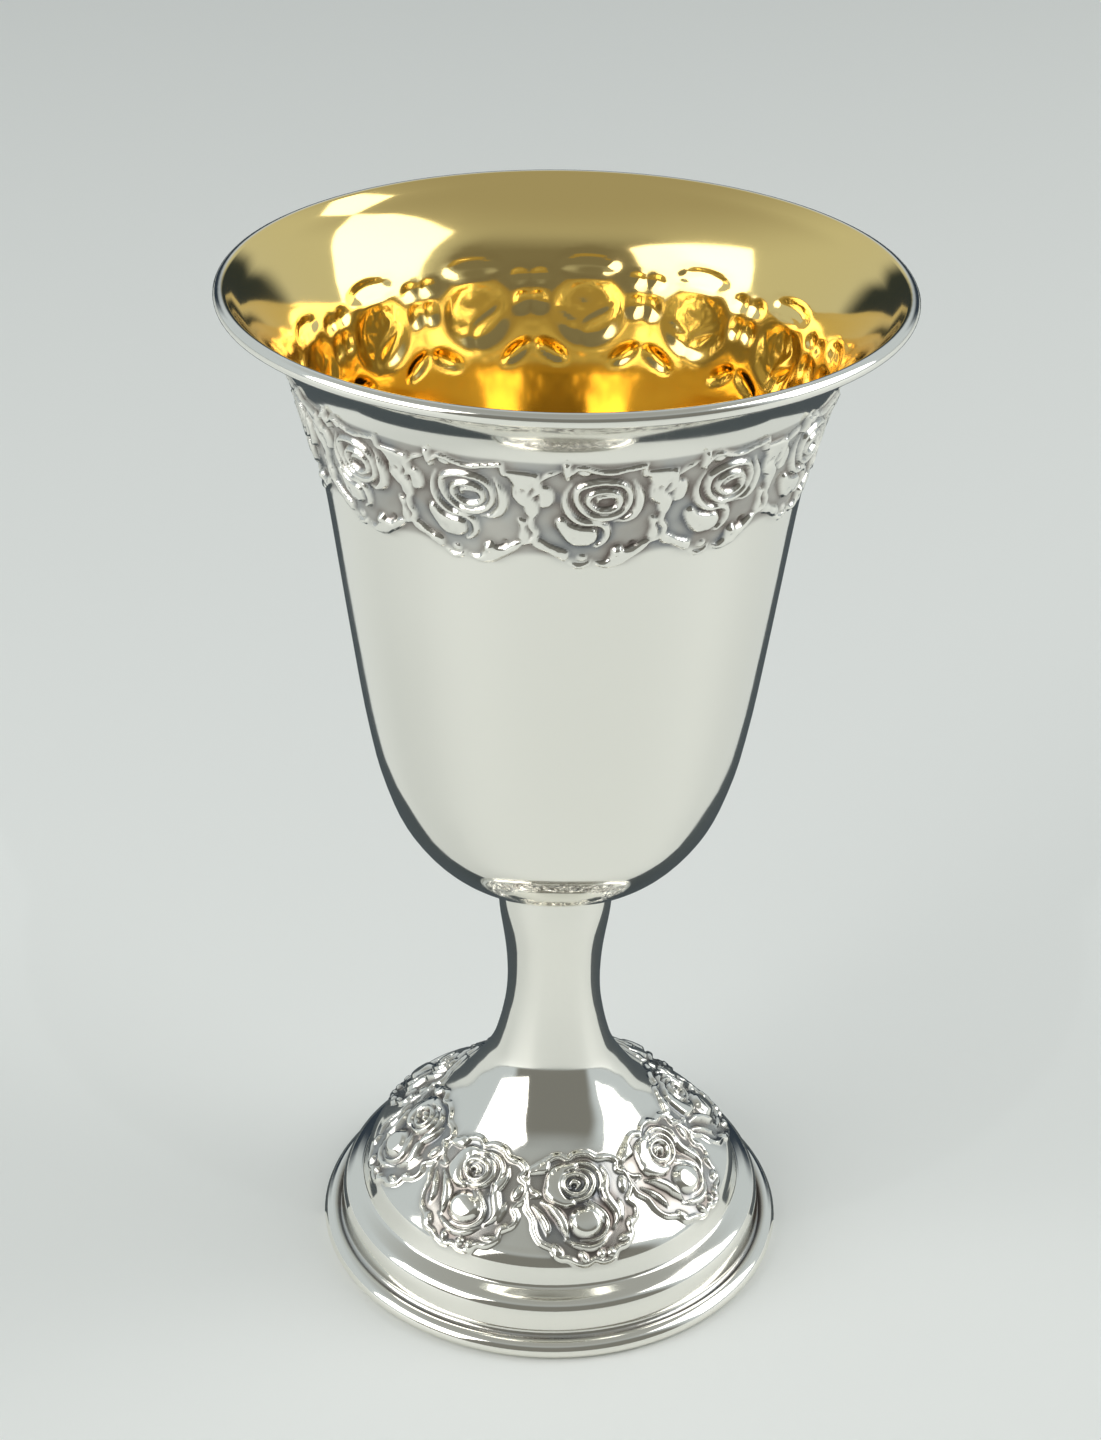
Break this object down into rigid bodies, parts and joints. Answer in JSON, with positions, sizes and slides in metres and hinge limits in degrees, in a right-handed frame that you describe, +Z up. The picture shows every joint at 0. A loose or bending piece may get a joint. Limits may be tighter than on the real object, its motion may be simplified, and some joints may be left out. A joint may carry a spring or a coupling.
{
  "type": "kiddush cup",
  "caption": "Footed silver kiddush cup: flared bell bowl gilt inside, rose band under the rolled rim, slender stem and domed foot with rose medallions.",
  "frame": {"origin": "centre of the foot's circle, on the plane that the foot stands on", "axes": "+Z up along the cup's axis of turning; -Y is the front; the roses are spaced evenly round Z"},
  "size_m": [0.0808, 0.0808, 0.135],
  "materials": {
    "bowl_silver_gilt": "polished silver outside with dark oxidised recesses in the roses, polished gilding inside",
    "foot_silver": "polished silver with dark oxidised recesses in the roses"
  },
  "bodies": {
    "root": {"bowl": "bowl_silver_gilt", "foot": "foot_silver"}
  },
  "joints": []
}
